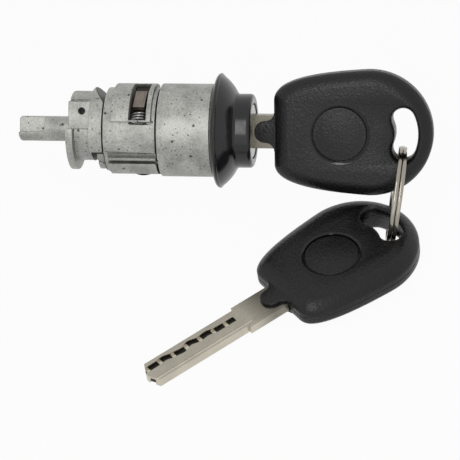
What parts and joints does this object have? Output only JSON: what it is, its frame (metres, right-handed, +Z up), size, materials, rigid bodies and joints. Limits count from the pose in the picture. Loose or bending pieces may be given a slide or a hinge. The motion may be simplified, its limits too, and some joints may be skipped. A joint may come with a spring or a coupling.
{
  "type": "ignition lock cylinder",
  "caption": "Die-cast car ignition lock cylinder with a flared black bezel, its key turned in the plug, and a spare key linked on a split ring.",
  "frame": {"origin": "on the lock axis, at the shoulder where the bezel meets the sleeve", "axes": "+X along the lock axis towards the key, +Z up, -Y towards the viewer"},
  "size_m": [0.1264, 0.095, 0.0492],
  "materials": {
    "die_cast_zinc": "matt die-cast zinc with fine casting grain",
    "plug_zinc": "turned zinc",
    "bezel_black": "glossy black moulding",
    "black_spring_steel": "black oxide",
    "catch_steel": "brushed, slightly brown",
    "spring_steel": "drawn wire",
    "wafer_brass": "stamped",
    "blade_nickel_silver": "milled nickel silver",
    "head_plastic": "fine grained black moulding",
    "inlay_plastic": "fine grained black moulding",
    "chip_epoxy": "potted",
    "ring_nickel": "nickel plated wire"
  },
  "bodies": {
    "lock": {"housing": "die_cast_zinc", "bezel": "bezel_black", "bow_spring": "black_spring_steel", "catch_spring": "spring_steel"},
    "catch": {"catch": "catch_steel"},
    "plug": {"plug": "plug_zinc", "wafer_1": "wafer_brass", "wafer_2": "wafer_brass", "wafer_3": "wafer_brass", "wafer_4": "wafer_brass", "wafer_5": "wafer_brass", "wafer_6": "wafer_brass", "wafer_7": "wafer_brass", "wafer_8": "wafer_brass", "wafer_springs": "spring_steel", "driver": "die_cast_zinc", "driver_pin": "spring_steel"},
    "key": {"key_blade": "blade_nickel_silver", "key_head_front": "head_plastic", "key_head_back": "head_plastic", "key_inlay": "inlay_plastic", "key_chip": "chip_epoxy"},
    "ring": {"split_ring": "ring_nickel"},
    "spare_key": {"spare_key_blade": "blade_nickel_silver", "spare_key_head_front": "head_plastic", "spare_key_head_back": "head_plastic", "spare_key_inlay": "inlay_plastic", "spare_key_chip": "chip_epoxy"}
  },
  "joints": [
    {"name": "ignition_turn", "type": "hinge", "parent": "lock", "child": "plug", "pos_m": [0, 0, 0], "axis": [-1, 0, 0], "range_deg": [0, 90]},
    {"name": "key_withdraw", "type": "slide", "parent": "plug", "child": "key", "axis": [1, 0, 0], "range_m": [0, 0.05]},
    {"name": "ring_swing", "type": "hinge", "parent": "key", "child": "ring", "pos_m": [0.058, -0.00635, -0.011], "axis": [1, 0, 0], "range_deg": [-30, 40]},
    {"name": "spare_key_swing", "type": "hinge", "parent": "ring", "child": "spare_key", "pos_m": [0.05489, -0.01019, -0.01635], "axis": [-0.9863, 0, 0.165], "range_deg": [0, 90]},
    {"name": "catch_press", "type": "slide", "parent": "lock", "child": "catch", "axis": [0, -1, 0], "range_m": [0, 0.0013], "stiffness_N_per_m": 400, "springref_m": -0.003, "deforming": ["catch_spring"]}
  ]
}
